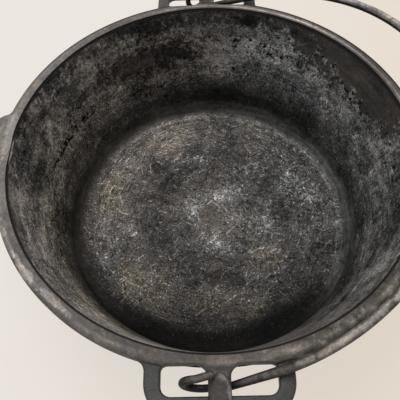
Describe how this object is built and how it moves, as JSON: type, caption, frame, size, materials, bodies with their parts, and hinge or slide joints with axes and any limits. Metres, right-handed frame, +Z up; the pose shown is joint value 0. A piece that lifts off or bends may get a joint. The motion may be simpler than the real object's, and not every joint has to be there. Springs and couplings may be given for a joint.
{
  "type": "dutch oven",
  "caption": "Open cast-iron dutch oven pot with double-loop ears at front and back, pour spouts at the sides, and a wire bail that swings over the rim.",
  "frame": {"origin": "centre of the pot's flat underside, on the table", "axes": "+Z up along the pot's axis; the ears lie along Y with the front ear at -Y; the spouts lie along X, and the bail leans to +X at rest"},
  "size_m": [0.29, 0.3, 0.1366],
  "materials": {
    "seasoned_iron": "old seasoned cast iron, worn grey, satin with matt patches",
    "bail_wire": "dull oxidised steel wire, brown-grey with worn bright spots"
  },
  "bodies": {
    "pot": {"bowl": "seasoned_iron", "rim": "seasoned_iron", "left_spout": "seasoned_iron", "right_spout": "seasoned_iron", "front_ear": "seasoned_iron", "rear_ear": "seasoned_iron", "front_bail_lug": "seasoned_iron", "rear_bail_lug": "seasoned_iron"},
    "bail": {"bail": "bail_wire"}
  },
  "joints": [
    {"name": "bail_swing", "type": "hinge", "parent": "pot", "child": "bail", "pos_m": [0, 0, 0.0942], "axis": [0, -1, 0], "range_deg": [0, 160]}
  ]
}
